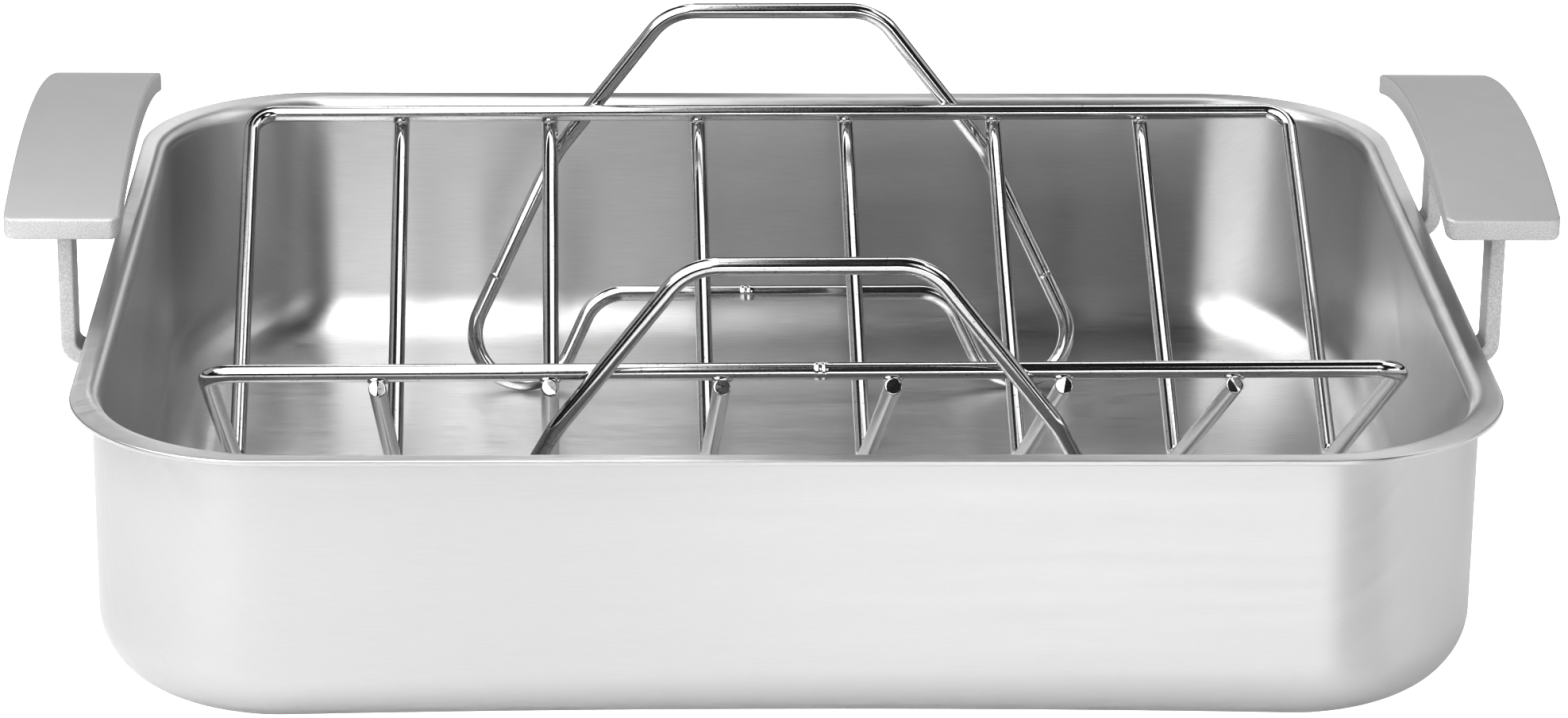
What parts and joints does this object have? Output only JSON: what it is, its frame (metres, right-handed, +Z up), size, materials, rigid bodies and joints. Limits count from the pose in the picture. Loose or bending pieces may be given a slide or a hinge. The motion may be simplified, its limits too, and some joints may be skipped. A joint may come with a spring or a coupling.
{
  "type": "roasting pan with rack",
  "caption": "Deep rectangular steel roasting pan with a flared rim, arched end handles and a V-shaped chrome wire rack that lifts out by its own carrying loops.",
  "frame": {"origin": "centre of the pan's outside, on the surface it stands on", "axes": "+X along the long side towards the right handle, +Y away from the viewer, +Z up"},
  "size_m": [0.4442, 0.34, 0.13],
  "materials": {
    "pan_steel": "brushed satin stainless steel",
    "handle_steel": "bead-blasted cast stainless steel",
    "rack_wire": "bright chrome-plated wire"
  },
  "bodies": {
    "pan": {"pan": "pan_steel", "handle_left": "handle_steel", "handle_right": "handle_steel"},
    "rack": {"rack_frame": "rack_wire", "cross_wire_1": "rack_wire", "cross_wire_2": "rack_wire", "cross_wire_3": "rack_wire", "cross_wire_4": "rack_wire", "cross_wire_5": "rack_wire", "cross_wire_6": "rack_wire", "leg_loop_front": "rack_wire", "leg_loop_back": "rack_wire"}
  },
  "joints": [
    {"name": "rack_lift", "type": "slide", "parent": "pan", "child": "rack", "axis": [0, 0, 1], "range_m": [0, 0.14]}
  ]
}
